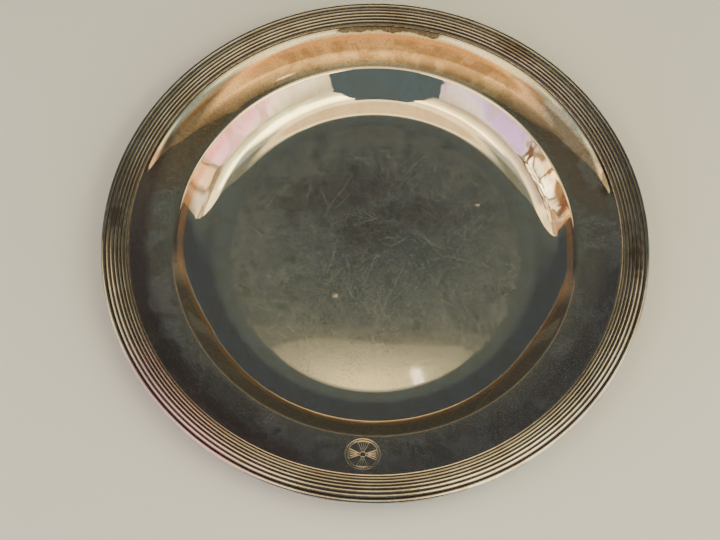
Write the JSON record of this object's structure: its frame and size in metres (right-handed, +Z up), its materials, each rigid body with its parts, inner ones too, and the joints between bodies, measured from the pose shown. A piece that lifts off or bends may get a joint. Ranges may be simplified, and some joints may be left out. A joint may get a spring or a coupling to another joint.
{
  "type": "paten plate",
  "caption": "Round dished silver plate with a flat well, a concave booge, a wide brim, a reeded border and a small engraved cross on the brim.",
  "frame": {"origin": "centre of the flat underside of the well, on the surface that the plate stands on", "axes": "+Z up out of the well along the plate's axis; -Y towards the engraved mark on the brim; +X completes the right-handed frame"},
  "size_m": [0.25, 0.25, 0.0198],
  "materials": {
    "aged_silver": "polished silver with fine scratches and a warm grey-brown tarnish",
    "border_silver": "rubbed bright on the reeds, with dark tarnish left in the grooves",
    "solder": "dull grey silver solder"
  },
  "bodies": {
    "root": {"plate_body": "aged_silver", "reeded_border": "border_silver", "border_solder": "solder"}
  },
  "joints": []
}
